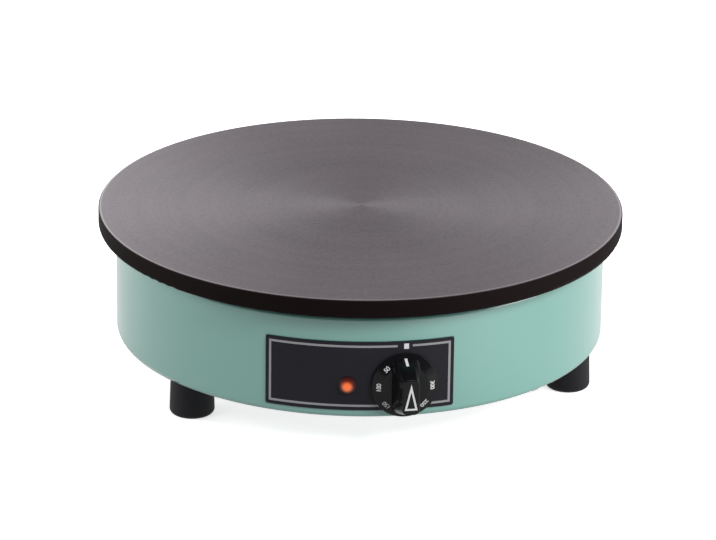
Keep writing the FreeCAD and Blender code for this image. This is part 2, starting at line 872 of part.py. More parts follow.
def thermostat_plate():
    """Flat mounting plate that the two panel screws pull against the wall."""
    plate = rounded_box(thermostat_plate_width, thermostat_plate_height, thermostat_front,
                        thermostat_plate_face, 2.0)
    low = thermostat_front - 1
    holes = [Part.makeCylinder(bushing_diameter / 2 + seat_gap, thermostat_depth, V(0, 0, low))]
    for side in (-1, 1):
        x = side * thermostat_screw_spacing / 2
        holes.append(Part.makeCylinder(thread_m4 / 2 + thread_gap, thermostat_depth, V(x, 0, low)))
    return on_wall(cut_all(plate, holes), knob_azimuth, control_level)


def thermostat_screws():
    """Two screws through the panel and wall, hidden under the knob's skirt."""
    inner_edge = thermostat_screw_spacing / 2 - thread_m4 * screw_head_ratio / 2
    seat = wall_chord(panel_face, inner_edge) + seat_gap
    one = screw(thread_m4, seat, thermostat_front + 0.05, screw_head_height)
    shapes = []
    for side in (-1, 1):
        piece = one.copy()
        piece.translate(V(side * thermostat_screw_spacing / 2, 0, 0))
        shapes.append(on_wall(piece, knob_azimuth, control_level))
    return group(shapes)


def thermostat_tabs():
    """Brass blade terminals on the back of the thermostat."""
    back = thermostat_front - thermostat_depth
    shapes = []
    for x in (-thermostat_tab_side, thermostat_tab_side):
        for y in (-thermostat_tab_rise, thermostat_tab_rise):
            blade = rounded_box(tab_width, tab_thickness, back - tab_length, back, tab_round)
            blade.translate(V(x, y, 0))
            shapes.append(on_wall(blade, knob_azimuth, control_level))
    return group(shapes)


# The pilot lamp

def lamp_bezel():
    """Black collar on the panel with the tube that passes through the wall."""
    seat = panel_face + seat_gap / 2
    back = panel_face - lamp_tube_length
    tube_inside = lamp_tube_diameter / 2 - lamp_wall
    top = seat + lamp_bezel_rise
    bezel = turned([
        (tube_inside, back, 0), (lamp_tube_diameter / 2, back, 0), (lamp_tube_diameter / 2, seat, 0),
        (lamp_bezel_diameter / 2, seat, 0), (lamp_bezel_diameter / 2, top, lamp_edge_round),
        (tube_inside, top, 0),
    ])
    return on_wall(bezel, lamp_azimuth, control_level)


def lamp_lens():
    """Amber domed lens with a stem in the bezel's tube."""
    top = panel_face + seat_gap / 2 + lamp_bezel_rise
    stem = lamp_tube_diameter / 2 - lamp_wall - thread_gap
    cap = lamp_lens_diameter / 2
    lens = turned([
        (0, top - lamp_stem_length, 0), (stem, top - lamp_stem_length, 0), (stem, top, 0), (cap, top, 0),
        (cap, top + lamp_lens_rise * 0.5, 1.0), (cap * 0.55, top + lamp_lens_rise, 3.0),
        (0, top + lamp_lens_rise, 0),
    ])
    return on_wall(lens, lamp_azimuth, control_level)


def lamp_nut():
    """Plastic nut that pulls the lamp against the inside of the wall."""
    corner = lamp_nut_width / 2 / math.cos(math.radians(30))
    high = wall_chord(wall_inside, corner) - seat_gap
    one = nut(lamp_tube_diameter, high - lamp_nut_thickness, lamp_nut_width, lamp_nut_thickness)
    return on_wall(one, lamp_azimuth, control_level)


def lamp_holder():
    """Holder for the neon lamp, closing the back of the bezel's tube, with its two pins."""
    back = panel_face - lamp_tube_length
    body = Part.makeCylinder(lamp_tube_diameter / 2, lamp_holder_length, V(0, 0, back - lamp_holder_length))
    plug = Part.makeCylinder(lamp_tube_diameter / 2 - lamp_wall - thread_gap, lamp_plug_length + 1,
                             V(0, 0, back - 1))
    pins = [Part.makeCylinder(lamp_pin_diameter / 2, lamp_pin_reach + 1,
                              V(x, 0, back - lamp_holder_length - lamp_pin_reach))
            for x in (-lamp_pin_offset, lamp_pin_offset)]
    return on_wall(body.fuse([plug] + pins).removeSplitter(), lamp_azimuth, control_level)


# The overheat limiter with its reset button under the base

limiter_floor = shell_bottom
bush_end = base_under - limiter_bush_reach
button_tip = bush_end - reset_button_reach


def limiter_body():
    """Manual-reset overheat cut-out with a threaded bush through the base."""
    body = rounded_box(limiter_width, limiter_depth, limiter_floor, limiter_floor + limiter_height, 2.5)
    bush = Part.makeCylinder(limiter_bush_diameter / 2, limiter_floor - bush_end + 1, V(0, 0, bush_end))
    bore_radius = reset_button_diameter / 2 + shaft_gap
    bore = Part.makeCylinder(bore_radius, limiter_floor - bush_end + 1, V(0, 0, bush_end))
    collar_low = limiter_floor + reset_collar_seat
    room = reset_button_length + reset_button_travel + 1
    chamber = Part.makeCylinder(reset_button_collar / 2 + shaft_gap, button_tip + room - collar_low,
                                V(0, 0, collar_low))
    return stand(body.fuse(bush).cut(bore).cut(chamber).removeSplitter(), limiter_azimuth, limiter_radius)


def limiter_nut():
    """Thin nut that holds the limiter to the base."""
    one = nut(limiter_bush_diameter, base_under - limiter_nut_thickness, limiter_nut_width,
              limiter_nut_thickness)
    return stand(one, limiter_azimuth, limiter_radius)


def reset_button():
    """Button that is pushed up to reset the limiter, kept in by its collar."""
    stem = Part.makeCylinder(reset_button_diameter / 2, reset_button_length, V(0, 0, button_tip))
    stem = stem.makeFillet(reset_tip_round, [e for e in stem.Edges if e.BoundBox.ZMax < button_tip + 0.01])
    collar_low = limiter_floor + reset_collar_seat + seat_gap
    collar = Part.makeCylinder(reset_button_collar / 2, reset_collar_thickness, V(0, 0, collar_low))
    return stand(stem.fuse(collar).removeSplitter(), limiter_azimuth, limiter_radius)


def limiter_tabs():
    """Blade terminals on top of the limiter."""
    top = limiter_floor + limiter_height
    shapes = []
    for x in (-limiter_tab_side, limiter_tab_side):
        blade = rounded_box(tab_thickness, tab_width, top, top + tab_length, tab_round)
        blade.translate(V(x, 0, 0))
        shapes.append(stand(blade, limiter_azimuth, limiter_radius))
    return group(shapes)


# The supply entry, the terminal block and the earth stud

gland_seat = body_radius + gland_washer_thickness
gland_hex_face = gland_seat + gland_hex_thickness
gland_end = gland_hex_face + gland_cap_length


def gland_washer():
    """Rubber sealing washer, moulded to the round wall on one side."""
    disc = ring(gland_thread_diameter / 2 + hole_gap, gland_hex_width / 2, wall_inside, gland_seat)
    wall = on_wall(disc, 180, gland_level)
    return wall.cut(ring(0, body_radius, shell_bottom, shell_top))


def gland_body():
    """Gland body: thread through the wall, hexagon outside and a threaded neck for the cap."""
    inner = wall_inside - gland_thread_length
    neck = gland_thread_diameter / 2 - gland_neck_step
    body = Part.makeCylinder(gland_thread_diameter / 2, gland_seat - inner, V(0, 0, inner))
    flange = hexagon(gland_hex_width, gland_seat, gland_hex_face)
    collar = Part.makeCylinder(neck, gland_cap_grip_length, V(0, 0, gland_hex_face - 1))
    shape = body.fuse([flange, collar])
    bore = Part.makeCylinder(gland_bore / 2, gland_end, V(0, 0, inner - 1))
    return on_wall(shape.cut(bore).removeSplitter(), 180, gland_level)


def gland_nut():
    """Lock nut on the gland's thread inside the wall."""
    corner = gland_hex_width / 2 / math.cos(math.radians(30))
    high = wall_chord(wall_inside, corner) - seat_gap
    one = nut(gland_thread_diameter, high - gland_nut_thickness, gland_hex_width, gland_nut_thickness)
    return on_wall(one, 180, gland_level)


def gland_cap():
    """Domed cap that squeezes the seal, with a hexagon to grip."""
    neck = gland_thread_diameter / 2 - gland_neck_step
    low = gland_hex_face + gland_cap_gap
    outside = neck + gland_cap_wall
    mouth = gland_cap_mouth_diameter / 2
    neck_room = neck + thread_gap
    depth = gland_cap_grip_length - gland_cap_gap
    dome = turned([
        (neck_room, low, 0), (outside, low, gland_mouth_round), (outside, gland_end, gland_cap_round),
        (mouth, gland_end, gland_mouth_round),
        (mouth, gland_end - gland_cap_wall, 0), (neck_room, low + depth + 2.0, 0),
    ])
    grip = hexagon(gland_hex_width, low, low + gland_cap_grip_length)
    grip = grip.cut(Part.makeCylinder(outside - 0.5, gland_cap_grip_length, V(0, 0, low)))
    return on_wall(dome.fuse(grip).removeSplitter(), 180, gland_level)


def gland_seal():
    """Rubber sleeve in the gland's mouth; its bore takes the supply cable."""
    high = gland_end - gland_cap_wall - gland_seal_gap
    low = high - gland_seal_length
    outside = gland_bore / 2 - seat_gap
    seal = ring(gland_seal_bore / 2, outside, low, high)
    return on_wall(seal, 180, gland_level)


def terminal_screw_offset():
    """Half the distance between the terminal block's two fixing screws."""
    return (terminal_pitch * terminal_poles + terminal_ear_width) / 2


def terminal_block():
    """Ceramic block with one pocket for each pole and two fixing ears."""
    width = terminal_pitch * terminal_poles
    block = rounded_box(width, terminal_block_depth, shell_bottom, shell_bottom + terminal_block_height, 1.5)
    ears = rounded_box(width + terminal_ear_width * 2, terminal_ear_depth, shell_bottom,
                       shell_bottom + terminal_ear_height, terminal_ear_depth / 3)
    shape = block.fuse(ears)
    tools = []
    for i in range(terminal_poles):
        x = (i - (terminal_poles - 1) / 2) * terminal_pitch
        pocket = rounded_box(terminal_clamp_width + terminal_pocket_gap * 2, terminal_block_depth + 2,
                             shell_bottom + terminal_pocket_floor, shell_bottom + terminal_block_height + 1,
                             terminal_pocket_gap)
        pocket.translate(V(x, 0, 0))
        tools.append(pocket)
    for side in (-1, 1):
        tools.append(Part.makeCylinder(thread_m4 / 2 + hole_gap, terminal_ear_height + 2,
                                       V(side * terminal_screw_offset(), 0, shell_bottom - 1)))
    return stand(cut_all(shape, tools).removeSplitter(), 180, terminal_block_radius)


def terminal_clamps():
    """Brass clamps in the block's pockets, each with its screw on top."""
    low = shell_bottom + terminal_pocket_floor
    high = low + terminal_clamp_height
    half = terminal_clamp_length / 2
    shapes = []
    for i in range(terminal_poles):
        x = (i - (terminal_poles - 1) / 2) * terminal_pitch
        bar = rounded_box(terminal_clamp_width, terminal_clamp_length, low, high, terminal_pocket_gap * 2)
        for y in (-terminal_clamp_screw_offset, terminal_clamp_screw_offset):
            bar = bar.fuse(Part.makeCylinder(terminal_clamp_screw_diameter / 2, terminal_clamp_screw_height,
                                             V(0, y, high)))
        bar = bar.cut(Part.makeCylinder(wire_diameter / 2 + seat_gap, terminal_clamp_length,
                                        V(0, -half, (low + high) / 2), V(0, 1, 0)))
        bar.translate(V(x, 0, 0))
        shapes.append(stand(bar.removeSplitter(), 180, terminal_block_radius))
    return group(shapes)


def terminal_screws():
    """Screws from below the base into nuts above the block's ears."""
    shapes = []
    for side in (-1, 1):
        one = screw(thread_m4, base_under, shell_bottom + terminal_ear_height + thread_m4)
        top = nut(thread_m4, shell_bottom + terminal_ear_height)
        for piece in (one, top):
            moved = piece.copy()
            moved.translate(V(side * terminal_screw_offset(), 0, 0))
            shapes.append(stand(moved, 180, terminal_block_radius))
    return group(shapes)


def earth_stud():
    """Earth bolt up through the base, with its nut."""
    bolt = screw(thread_m5, base_under, shell_bottom + earth_length)
    return stand(bolt, earth_azimuth, earth_radius)


def earth_nuts():
    """Two brass nuts that clamp the earth lead on its stud."""
    first = shell_bottom
    second = first + thread_m5 * nut_height_ratio + earth_lug_thickness
    return group([stand(nut(thread_m5, z), earth_azimuth, earth_radius) for z in (first, second)])


# Internal leads and capillaries

element_tail = shield_under - element_pin_reach
lead_level = element_tail - wire_level_below_pins
clamp_level = shell_bottom + terminal_pocket_floor + terminal_clamp_height / 2
limiter_tab_top = limiter_floor + limiter_height + tab_length


def behind_thermostat(x, y, back):
    """A point behind the thermostat: x along the wall, y above the shaft, this far behind its housing."""
    reach = thermostat_front - thermostat_depth - back
    return across(knob_azimuth) * x + outward(knob_azimuth) * reach + UP * (control_level + y)


def lead(points, diameter=wire_diameter, bend=wire_bend):
    """One insulated wire through these points."""
    return tube(points, diameter, bend)


def thermostat_sleeve(x, y):
    """Push-on sleeve over one of the thermostat's blades."""
    tip = thermostat_front - thermostat_depth - tab_length
    low = tip - sleeve_tail
    high = tip + tab_length - sleeve_gap
    sleeve = rounded_box(sleeve_width, sleeve_thickness, low, high, sleeve_gap)
    slot = rounded_box(tab_width + seat_gap, tab_thickness + seat_gap, tip - seat_gap, high, tab_round)
    sleeve = sleeve.cut(slot)
    sleeve.translate(V(x, y, 0))
    return on_wall(sleeve, knob_azimuth, control_level)


def limiter_sleeve(x):
    """Push-on sleeve over one of the limiter's blades."""
    low = limiter_tab_top - tab_length + sleeve_gap
    sleeve = rounded_box(sleeve_thickness, sleeve_width, low, limiter_tab_top + sleeve_tail, sleeve_gap)
    slot = rounded_box(tab_thickness + seat_gap, tab_width + seat_gap, low, limiter_tab_top + seat_gap,
                       tab_round)
    sleeve = sleeve.cut(slot)
    sleeve.translate(V(x, 0, 0))
    return stand(sleeve, limiter_azimuth, limiter_radius)


def pin_cap(azimuth, radius):
    """Crimped cap over the lower end of one element pin."""
    high = shield_under - insulator_length - pin_cap_gap
    low = high - pin_cap_length
    cap = Part.makeCylinder(pin_cap_diameter / 2, pin_cap_length, V(0, 0, low))
    cap = cap.cut(Part.makeCylinder(element_pin_diameter / 2 + thread_gap, high - element_tail + seat_gap,
                                    V(0, 0, element_tail - seat_gap)))
    return stand(cap, azimuth, radius)


def thermostat_exit(x, y):
    """The first points of a wire that leaves the sleeve on one of the thermostat's blades."""
    tail = tab_length + sleeve_tail
    return [behind_thermostat(x, y, tail - 1), behind_thermostat(x, y, tail + wire_run_out)]


def limiter_exit(x):
    """The first points of a wire that leaves the sleeve on one of the limiter's blades."""
    foot = spot(limiter_azimuth, limiter_radius, limiter_tab_top + sleeve_tail - 1)
    foot = foot + across(limiter_azimuth) * x
    return [foot, foot + UP * wire_run_out]


def clamp_exit(pole):
    """The first points of a wire that leaves one of the terminal block's clamps inwards."""
    x = (pole - (terminal_poles - 1) / 2) * terminal_pitch
    near = terminal_block_radius - terminal_clamp_length / 4
    start = across(180) * x + outward(180) * near + UP * clamp_level
    return [start, start - outward(180) * (terminal_block_depth + wire_run_out / 2)]


def pin_exit(azimuth, radius, side, level):
    """The first points of a wire that leaves an element pin's cap, to one side of its axis."""
    top = shield_under - insulator_length - pin_cap_gap - pin_cap_length
    start = spot(azimuth, radius, top + 1) + across(azimuth) * (side * pin_wire_offset)
    return [start, V(start.x, start.y, level)]


def supply_wires():
    """Live lead from the terminal block to the limiter, and neutral lead to the thermostat."""
    live = lead(clamp_exit(0) + [spot(135, limiter_radius * 0.6, limiter_tab_top)]
                + limiter_exit(limiter_tab_side)[::-1])
    live = live.fuse(limiter_sleeve(limiter_tab_side)).removeSplitter()
    x = thermostat_tab_side
    y = -thermostat_tab_rise
    neutral = lead(clamp_exit(1) + thermostat_exit(x, y)[::-1])
    neutral = neutral.fuse(thermostat_sleeve(x, y)).removeSplitter()
    return group([live, neutral])


def limiter_wire():
    """Live lead from the limiter to the thermostat."""
    x = thermostat_tab_side
    y = thermostat_tab_rise
    wire = lead(limiter_exit(-limiter_tab_side) + thermostat_exit(x, y)[::-1])
    return wire.fuse([limiter_sleeve(-limiter_tab_side), thermostat_sleeve(x, y)]).removeSplitter()


def element_wires():
    """Leads from the thermostat to the elements: each goes on to the other element's pin."""
    outer, inner = element_ring_radii
    outer_azimuth = element_angles(outer)[0]
    inner_azimuth = element_angles(inner)[0]
    upper = (thermostat_tab_rise, lead_level, (inner_azimuth, inner[0]), (outer_azimuth, outer[1]))
    lower = (-thermostat_tab_rise, lead_level - lead_layer, (inner_azimuth, inner[1]),
             (outer_azimuth, outer[0]))
    shapes = []
    for y, level, first, second in (upper, lower):
        x = -thermostat_tab_side
        shape = lead(thermostat_exit(x, y) + pin_exit(*first, -1, level)[::-1])
        link = lead(pin_exit(*first, 1, level) + pin_exit(*second, 0, level)[::-1], bend=capillary_bend)
        ends = [thermostat_sleeve(x, y), pin_cap(*first), pin_cap(*second)]
        shapes.append(shape.fuse([link] + ends).removeSplitter())
    return group(shapes)


def earth_wire():
    """Earth lead from the terminal block to a ring lug between the earth stud's nuts."""
    low = shell_bottom + thread_m5 * nut_height_ratio
    middle = low + earth_lug_thickness / 2
    along = V(0, -1, 0)
    stud = spot(earth_azimuth, earth_radius, 0)
    lug = Part.makeCylinder(earth_lug_diameter / 2, earth_lug_thickness, V(0, 0, low))
    width = earth_barrel_diameter
    tongue = Part.makeBox(width, earth_lug_length, earth_lug_thickness, V(-width / 2, -earth_lug_length, low))
    barrel_root = along * (earth_lug_length * 2 / 3) + UP * middle
    lug = lug.fuse([tongue, Part.makeCylinder(width / 2, earth_lug_length / 2, barrel_root, along)])
    lug = lug.cut(Part.makeCylinder(thread_m5 / 2 + hole_gap, earth_lug_thickness, V(0, 0, low)))
    lug.translate(stud)
    barrel = stud + along * earth_lug_length + UP * middle
    points = clamp_exit(2) + [barrel + along * wire_bend * 3, barrel]
    return lug.fuse(lead(points, bend=wire_bend / 2)).removeSplitter()


def lamp_wires():
    """Two thin leads from the pilot lamp's pins to the sleeves on the thermostat's outgoing blades."""
    tip = panel_face - lamp_tube_length - lamp_holder_length - lamp_pin_reach
    shapes = []
    for side in (1, -1):
        tail = tip + lamp_pin_reach - sleeve_gap - lamp_cap_length
        cap = Part.makeCylinder(lamp_cap_diameter / 2, lamp_cap_length, V(0, 0, tail))
        pin_room = lamp_pin_diameter / 2 + thread_gap
        cap = cap.cut(Part.makeCylinder(pin_room, lamp_pin_reach, V(0, 0, tip - seat_gap)))
        cap.translate(V(side * lamp_pin_offset, 0, 0))
        cap = on_wall(cap, lamp_azimuth, control_level)
        place = across(lamp_azimuth) * (side * lamp_pin_offset) + UP * control_level
        start = place + outward(lamp_azimuth) * (tail + 1)
        out = place + outward(lamp_azimuth) * (tail - lamp_wire_bend * 2)
        x = -thermostat_tab_side - lamp_wire_offset
        y = side * thermostat_tab_rise
        end = behind_thermostat(x, y, tab_length + sleeve_tail)
        turn = behind_thermostat(x, y, tab_length + sleeve_tail + lamp_wire_bend * 2)
        wire = lead([start, out, turn, end], lamp_wire_diameter, lamp_wire_bend)
        shapes.append(cap.fuse(wire).removeSplitter())
    return group(shapes)


def thermostat_capillary():
    """Capillary from its bulb down through the heating pack to the thermostat."""
    end, along = bulb_end(bulb_azimuths[0])
    drop = capillary_drop(bulb_azimuths[0])
    low = V(drop.x, drop.y, shield_under - capillary_run_level)
    return tube([end + along * seat_gap, drop, low,
                 behind_thermostat(0, capillary_entry_rise, capillary_run_level),
                 behind_thermostat(0, capillary_entry_rise, seat_gap)], capillary_diameter, capillary_bend)


def limiter_capillary():
    """Capillary from its bulb down through the heating pack to the top of the limiter."""
    end, along = bulb_end(bulb_azimuths[1])
    drop = capillary_drop(bulb_azimuths[1])
    low = V(drop.x, drop.y, shield_under - capillary_run_level)
    over = spot(limiter_azimuth, limiter_radius, low.z)
    top = limiter_floor + limiter_height + seat_gap
    return tube([end + along * seat_gap, drop, low, over, V(over.x, over.y, top)],
                capillary_diameter, capillary_bend)


pieces = {
    "griddle_plate": griddle_plate,
    "outer_heating_element": lambda: heating_element(element_ring_radii[0]),
    "inner_heating_element": lambda: heating_element(element_ring_radii[1]),
    "element_clamp_plate": element_clamp_plate,
    "insulation_disc": insulation_disc,
    "heat_shield": heat_shield,
    "clamp_studs": clamp_studs,
    "clamp_nuts": clamp_nuts,
    "shield_washers": shield_washers,
    "shield_nuts": shield_nuts,
    "element_insulators": element_insulators,
    "thermostat_bulb": lambda: temperature_bulb(bulb_azimuths[0]),
    "limiter_bulb": lambda: temperature_bulb(bulb_azimuths[1]),
    "body_shell": body_shell,
    "base_plate": base_plate,
    "base_screws": base_screws,
    "base_nuts": base_nuts,
    "foot_washers": foot_washers,
    "foot_screws": foot_screws,
    "foot_nuts": foot_nuts,
    "support_posts": support_posts,
    "tie_studs": tie_studs,
    "tie_nuts": tie_nuts,
    "control_panel": control_panel,
    "control_knob": control_knob,
    "thermostat_shaft": thermostat_shaft,
    "thermostat_body": thermostat_body,
    "thermostat_plate": thermostat_plate,
    "thermostat_screws": thermostat_screws,
    "thermostat_tabs": thermostat_tabs,
    "lamp_bezel": lamp_bezel,
    "lamp_lens": lamp_lens,
    "lamp_nut": lamp_nut,
    "lamp_holder": lamp_holder,
    "limiter_body": limiter_body,
    "limiter_nut": limiter_nut,
    "limiter_tabs": limiter_tabs,
    "reset_button": reset_button,
    "gland_washer": gland_washer,
    "gland_body": gland_body,
    "gland_nut": gland_nut,
    "gland_cap": gland_cap,
    "gland_seal": gland_seal,
    "terminal_block": terminal_block,
    "terminal_clamps": terminal_clamps,
    "terminal_screws": terminal_screws,
    "earth_stud": earth_stud,
    "earth_nuts": earth_nuts,
    "supply_wires": supply_wires,
    "limiter_wire": limiter_wire,
    "element_wires": element_wires,
    "earth_wire": earth_wire,
    "lamp_wires": lamp_wires,
    "thermostat_capillary": thermostat_capillary,
    "limiter_capillary": limiter_capillary,
}
for foot_name, azimuth in zip(foot_names, foot_azimuths):
    pieces[foot_name] = lambda azimuth=azimuth: stand(foot(), azimuth, foot_circle_radius)

os.makedirs("parts", exist_ok=True)
for name, make in pieces.items():
    shape = make()
    shape.exportStep("parts/" + name + ".step")
    print(name, len(shape.Solids), shape.isValid(), round(shape.Volume))
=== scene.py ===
"""Finish of an electric crepe griddle around its solid frame: prints, dial, materials, light and camera."""
import json
import math

import bmesh
import bpy
from mathutils import Matrix, Vector


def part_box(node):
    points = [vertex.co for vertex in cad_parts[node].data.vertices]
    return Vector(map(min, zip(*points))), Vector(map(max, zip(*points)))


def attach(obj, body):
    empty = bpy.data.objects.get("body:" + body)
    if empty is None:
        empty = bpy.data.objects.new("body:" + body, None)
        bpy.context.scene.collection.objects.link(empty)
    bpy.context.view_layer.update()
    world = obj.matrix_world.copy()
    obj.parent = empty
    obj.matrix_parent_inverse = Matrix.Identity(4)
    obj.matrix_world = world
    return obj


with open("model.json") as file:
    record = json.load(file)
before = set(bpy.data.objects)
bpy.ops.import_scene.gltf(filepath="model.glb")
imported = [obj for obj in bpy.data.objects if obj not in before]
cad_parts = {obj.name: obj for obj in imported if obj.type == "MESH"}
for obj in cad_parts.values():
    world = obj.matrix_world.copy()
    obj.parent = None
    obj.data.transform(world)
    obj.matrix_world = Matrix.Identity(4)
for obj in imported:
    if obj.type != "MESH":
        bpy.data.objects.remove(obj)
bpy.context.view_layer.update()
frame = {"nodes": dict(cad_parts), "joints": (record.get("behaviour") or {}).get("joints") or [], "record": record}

bl_info = {
    "name": "Crepe griddle finish",
    "version": (1, 0, 0),
    "blender": (4, 5, 0),
    "location": "View3D > Sidebar > Griddle",
    "description": "Prints, dial, materials, light and camera for an electric crepe griddle",
    "category": "Object",
}

PLATE_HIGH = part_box("griddle_plate")[1]
PANEL_LOW, PANEL_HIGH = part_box("control_panel")
LENS_LOW, LENS_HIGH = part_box("lamp_lens")
KNOB_JOINT = next(j for j in frame["joints"] if j["name"] == "knob_turn")
KNOB_PLACE = Vector(KNOB_JOINT["pos_m"])
KNOB_AZIMUTH = math.atan2(KNOB_PLACE.x, -KNOB_PLACE.y)
PANEL_FACE = math.hypot(KNOB_PLACE.x, KNOB_PLACE.y)
STRIP_STEP = math.radians(1.0)

# Plate: turning marks and wider bands along its radius, and how far in from its edge, and down from
# its top, the painted highlight along its edge and the painted near-black shade round its rim start and are full
MARK_SCALE = 900.0
BAND_SCALE = 60.0
EDGE_HIGHLIGHT_START = 0.0028
EDGE_HIGHLIGHT_FULL = 0.0016
RIM_SHADE_START = 0.0014
RIM_SHADE_FULL = 0.0004
RIM_SHADE_DEPTH_START = 0.002
RIM_SHADE_DEPTH_FULL = 0.004

# What the mottled skin, the marks and the bands give to the plate's tone, and the tones at which its
# iron is darkest and lightest
SKIN_SHARE = 0.60
MARK_SHARE = 0.25
BAND_SHARE = 0.15
TONE_DARK = 0.37
TONE_LIGHT = 0.63

# Lens: how much of its radius is fully bright
LENS_CORE_SHARE = 0.35

# Dial: a figure for each eighth of a turn and 50 degrees of heat, but none under the grip's foot
FIGURE_TURN = math.radians(45.0)
FIGURE_HEAT = 50
FIGURE_STEPS = (1, 2, 3, 5, 6)
FIGURE_SHARE_OF_TEXT = 0.7
FIGURE_SPACING = 0.92
FIGURE_WEIGHT = 0.02
MERGE_DISTANCE = 1e-7

# Where a mix node has its two colours and its result
MIX_INPUTS = (6, 7)
MIX_OUTPUT = 2

# Soft square lamps: place and side in metres, power in watts, and whether they show in reflections
LAMPS = {
    "right_key": ((1.9, -2.2, 2.3), 1.2, 88.0, False),
    "right_side": ((2.7, -0.4, 0.9), 2.0, 60.0, True),
    "left_fill": ((-2.2, -1.6, 1.9), 1.2, 22.0, False),
    "left_side": ((-2.7, 0.2, 0.9), 1.6, 38.0, True),
    "back_left": ((-1.0, 2.4, 1.0), 1.5, 23.0, True),
    "back_middle": ((0.0, 2.8, 1.15), 1.2, 3.6, True),
    "back_right": ((1.1, 2.4, 1.0), 1.5, 20.0, True),
    "top": ((0.0, 0.6, 2.6), 1.6, 44.0, True),
}

LAMP_TARGET = Vector((0.0, 0.0, 0.06))

# A brighter patch of floor at the front right, which the enamel mirrors
FLOOR_PATCH_MIDDLE = (0.30, -0.36, 0.0)
FLOOR_PATCH_REACH = 0.30

# The photograph's camera: far off with a long lens, turned down a little past the plate's middle
CAMERA_DISTANCE = 3.5
CAMERA_ELEVATION = math.radians(20.3695)
CAMERA_PITCH = math.radians(21.1897)
CAMERA_YAW = math.radians(0.0225)
CAMERA_ROLL = math.radians(0.7655)
CAMERA_LENS = 230.5
CAMERA_SENSOR = 36.0
CAMERA_REACH = 50.0


def size(name, default, text):
    """A length property in metres."""
    return bpy.props.FloatProperty(name=name, default=default, description=text, unit="LENGTH", precision=5)


def brightness(name, default, text):
    """A strength of light."""
    return bpy.props.FloatProperty(name=name, default=default, description=text, min=0.0)


def colour(name, default, text):
    """A colour property, linear."""
    return bpy.props.FloatVectorProperty(name=name, default=default, description=text, subtype="COLOR",
                                         size=3, min=0.0, max=1.0)


class GriddleSizes(bpy.types.PropertyGroup):
    """Sizes of the prints and of the stage."""
    print_height: size("Print height", 0.00006, "How far a print stands off its surface")
    border: size("Border", 0.0027, "Black border outside the panel's printed line")
    line_width: size("Line width", 0.0017, "Width of the panel's printed line")
    line_gap: size("Line gap", 0.0112, "Gap in the printed line at the index mark")
    index_width: size("Index width", 0.0036, "Width of the index mark above the knob")
    index_tall: size("Index tall", 0.0042, "Height of the index mark above the knob")
    index_offset: size("Index offset", 0.0010, "How far right of the knob's axis the index mark is")
    index_rise: size("Index rise", 0.0301, "Height of the index square above the knob's axis")
    rim_radius: size("Rim radius", 0.0248, "Radius of the knob's rim")
    rim_rise: size("Rim rise", 0.0021, "From the panel's face to the front of the knob's rim")
    dial_radius: size("Dial radius", 0.0170, "Radius where the knob's conical skirt meets its flat face")
    dial_rise: size("Dial rise", 0.0051, "From the panel's face to the knob's flat face")
    grip_rise: size("Grip rise", 0.0265, "From the panel's face to the grip's front")
    grip_base_half: size("Grip base half", 0.0220, "Half the grip's length at the rim's level")
    grip_front_half: size("Grip front half", 0.0135, "Half the grip's length at its front")
    figure_radius: size("Figure radius", 0.0198, "Distance of the dial's figures from its axis")
    figure_height: size("Figure height", 0.0034, "Height of the dial's figures")
    tick_width: size("Tick width", 0.0020, "Width of the tick on the grip's upper end")
    tick_length: size("Tick length", 0.0085, "Length of the tick along the grip's upper end")
    tick_start: size("Tick start", 0.0012, "From the foot of the grip's upper end to the tick")
    arrow_top: size("Arrow top", 0.0108, "Height of the arrow's tip above the knob's axis")
    arrow_bottom: size("Arrow bottom", -0.0098, "Height of the arrow's foot above the knob's axis")
    arrow_width: size("Arrow width", 0.0096, "Width of the arrow's foot")
    arrow_line: size("Arrow line", 0.0014, "Width of the arrow's outline")
    floor_side: size("Floor side", 14.0, "Side of the square floor")
    floor_glow: brightness("Floor glow", 0.60, "Extra light of the floor where it is seen")
    floor_reflected: brightness("Floor reflected", 0.50, "Extra light of the floor in reflections")
    floor_patch: brightness("Floor patch", 1.30, "The same in the bright patch at the front right")
    floor_light: brightness("Floor light", 0.10, "Light that the floor gives the griddle")
    room_light: brightness("Room light", 0.12, "Light from all round")


class GriddleColours(bpy.types.PropertyGroup):
    """Colours of the finishes."""
    plate_dark: colour("Plate dark", (0.054, 0.043, 0.050), "Seasoned iron, dark")
    plate_light: colour("Plate light", (0.108, 0.091, 0.105), "Seasoned iron, light")
    enamel: colour("Enamel", (0.158, 0.360, 0.312), "Green enamel")
    enamel_deep: colour("Enamel deep", (0.138, 0.332, 0.284), "Green enamel where it lies thicker")
    # Painted highlight colour for a ring along the plate's top edge
    plate_edge_highlight: colour("Plate edge", (0.200, 0.180, 0.190), "Iron worn bright along the edge")
    # Painted shade colour: near black for the plate's rim and underside
    plate_rim_shade: colour("Plate rim", (0.007, 0.004, 0.004), "Iron burnt black round the rim")
    panel: colour("Panel", (0.009, 0.009, 0.012), "Black panel")
    knob: colour("Knob", (0.003, 0.003, 0.004), "Black knob")
    print_grey: colour("Printed line", (0.30, 0.30, 0.31), "Grey printed line")
    print_white: colour("White print", (0.72, 0.72, 0.72), "White print")
    rubber: colour("Rubber", (0.008, 0.008, 0.009), "Black rubber")
    amber: colour("Amber", (0.85, 0.16, 0.035), "Pilot lamp lens")
    amber_edge: colour("Amber edge", (0.10, 0.010, 0.006), "Pilot lamp lens at its edge")
    floor: colour("Floor", (0.80, 0.80, 0.80), "Pale floor where it is seen")
    floor_dim: colour("Floor dim", (0.24, 0.24, 0.24), "Pale floor as it lights the griddle")


# Node helpers

def shader(name):
    """A new material, its node tree and its principled shader."""
    material = bpy.data.materials.new(name)
    material.use_nodes = True
    tree = material.node_tree
    return material, tree, tree.nodes["Principled BSDF"]


